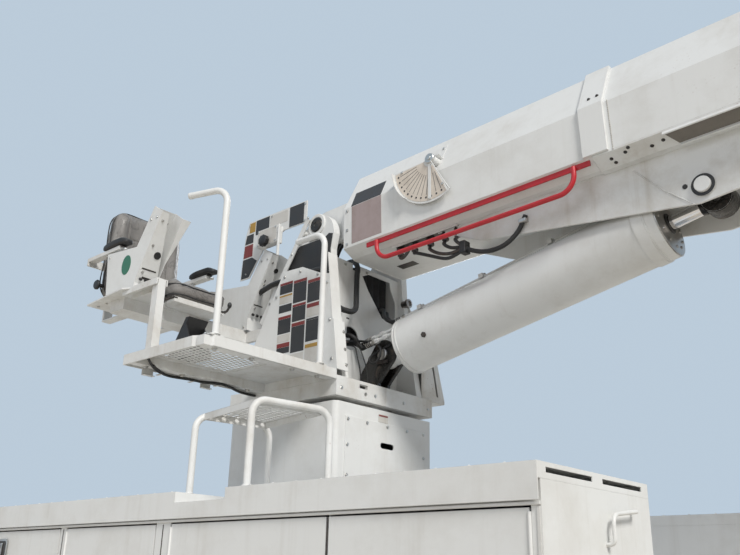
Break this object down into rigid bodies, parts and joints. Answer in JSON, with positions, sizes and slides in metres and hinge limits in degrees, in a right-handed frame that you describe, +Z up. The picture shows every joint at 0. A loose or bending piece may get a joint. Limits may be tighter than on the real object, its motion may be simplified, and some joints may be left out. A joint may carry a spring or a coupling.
{
  "type": "truck boom unit with seat controls",
  "caption": "Upper works of a utility truck: hollow service body with compartment doors, pedestal, slewing turret with a control seat, and a telescoping boom on a lift cylinder.",
  "frame": {"origin": "centre of the subframe's four chassis bolt holes, on the slewing axis, in the plane that sits on the chassis rails", "axes": "+X forward along the stowed boom, +Z up, the control seat on the -Y side"},
  "size_m": [6.7791, 2.44, 3.0634],
  "materials": {
    "white_paint": "gloss",
    "grey_steel": "satin",
    "black_grease": "greasy",
    "red_paint": "gloss",
    "chrome": "polished",
    "steel": "machined",
    "vinyl": "grained",
    "black_plastic": "matte",
    "hose": "matte",
    "galvanised": "rough"
  },
  "bodies": {
    "truck_body": {"subframe": "grey_steel", "deck": "galvanised", "side_pack_near": "white_paint", "side_pack_far": "white_paint", "roof_covers": "white_paint", "pedestal": "white_paint", "access_panel": "white_paint", "bearing_ring": "steel", "step_stand": "white_paint", "step_tread": "white_paint"},
    "turret": {"slew_ring": "steel", "turret_base": "white_paint", "turret_wings": "white_paint", "pivot_pin": "steel", "base_pin": "steel", "lift_clevis": "black_grease", "operator_platform": "white_paint", "platform_grating": "white_paint", "grab_rails": "white_paint", "seat_frame": "white_paint", "seat_cushion": "vinyl", "seat_back": "vinyl", "armrests": "black_plastic", "control_consoles": "white_paint", "sign_board": "white_paint", "foot_pedal": "black_plastic", "placard_panel": "white_paint", "side_cover": "white_paint", "loop_hose": "hose"},
    "boom": {"boom_outer": "white_paint", "boom_keel": "white_paint", "boom_collar": "white_paint", "guard_rail": "red_paint", "angle_plate": "white_paint", "wear_pads": "white_paint"},
    "boom_mid_section": {"boom_mid": "white_paint", "mid_pads": "white_paint"},
    "boom_inner_section": {"boom_inner": "white_paint", "boom_tip": "white_paint", "sheave_pin": "steel"},
    "sheave": {"tip_sheave": "steel"},
    "lift_cylinder_barrel": {"lift_barrel": "white_paint", "barrel_lines": "white_paint"},
    "lift_cylinder_rod": {"lift_rod": "chrome"},
    "front_door_near": {"door_near_front": "white_paint"},
    "middle_door_near": {"door_near_middle": "white_paint"},
    "centre_door_near": {"door_near_centre": "white_paint"},
    "wheel_door_near": {"door_near_wheel": "white_paint"},
    "front_door_far": {"door_far_front": "white_paint"},
    "middle_door_far": {"door_far_middle": "white_paint"},
    "centre_door_far": {"door_far_centre": "white_paint"},
    "wheel_door_far": {"door_far_wheel": "white_paint"}
  },
  "joints": [
    {"name": "slew", "type": "hinge", "parent": "truck_body", "child": "turret", "pos_m": [0, 0, 1.2], "axis": [0, 0, 1], "continuous": true},
    {"name": "boom_lift", "type": "hinge", "parent": "turret", "child": "boom", "pos_m": [0.14, 0, 2.18], "axis": [0, -1, 0], "range_deg": [-10, 75]},
    {"name": "mid_extend", "type": "slide", "parent": "boom", "child": "boom_mid_section", "axis": [0.9994, 0, 0.0349], "range_m": [0, 3]},
    {"name": "inner_extend", "type": "slide", "parent": "boom_mid_section", "child": "boom_inner_section", "axis": [0.9994, 0, 0.0349], "range_m": [0, 3]},
    {"name": "sheave_spin", "type": "hinge", "parent": "boom_inner_section", "child": "sheave", "pos_m": [5.12905, 0, 2.29419], "axis": [0, 1, 0], "continuous": true},
    {"name": "lift_barrel_swing", "type": "hinge", "parent": "turret", "child": "lift_cylinder_barrel", "pos_m": [0.395, 0, 1.482], "axis": [0, -1, 0], "range_deg": [-9.08, 65.53]},
    {"name": "lift_rod_slide", "type": "slide", "parent": "lift_cylinder_barrel", "child": "lift_cylinder_rod", "axis": [0.9789, 0, 0.2044], "range_m": [-0.1124, 0.8298]},
    {"name": "front_door_near_swing", "type": "hinge", "parent": "truck_body", "child": "front_door_near", "pos_m": [1.914, -1.205, 0.08], "axis": [0, 0, 1], "range_deg": [0, 90]},
    {"name": "middle_door_near_swing", "type": "hinge", "parent": "truck_body", "child": "middle_door_near", "pos_m": [0.381, -1.205, 0.08], "axis": [0, 0, -1], "range_deg": [0, 90]},
    {"name": "centre_door_near_swing", "type": "hinge", "parent": "truck_body", "child": "centre_door_near", "pos_m": [-0.377, -1.205, 0.08], "axis": [0, 0, -1], "range_deg": [0, 90]},
    {"name": "wheel_door_near_swing", "type": "hinge", "parent": "truck_body", "child": "wheel_door_near", "pos_m": [-0.95, -1.205, 0.116], "axis": [1, 0, 0], "range_deg": [0, 90]},
    {"name": "front_door_far_swing", "type": "hinge", "parent": "truck_body", "child": "front_door_far", "pos_m": [1.914, 1.205, 0.08], "axis": [0, 0, -1], "range_deg": [0, 90]},
    {"name": "middle_door_far_swing", "type": "hinge", "parent": "truck_body", "child": "middle_door_far", "pos_m": [0.381, 1.205, 0.08], "axis": [0, 0, 1], "range_deg": [0, 90]},
    {"name": "centre_door_far_swing", "type": "hinge", "parent": "truck_body", "child": "centre_door_far", "pos_m": [-0.377, 1.205, 0.08], "axis": [0, 0, 1], "range_deg": [0, 90]},
    {"name": "wheel_door_far_swing", "type": "hinge", "parent": "truck_body", "child": "wheel_door_far", "pos_m": [-0.95, 1.205, 0.116], "axis": [-1, 0, 0], "range_deg": [0, 90]}
  ],
  "couplings": [
    {"joint": "lift_barrel_swing", "follows": "boom_lift", "ratio": 0.8684},
    {"joint": "lift_rod_slide", "follows": "boom_lift", "m_per_rad": 0.6324},
    {"joint": "inner_extend", "follows": "mid_extend", "ratio": 1}
  ]
}
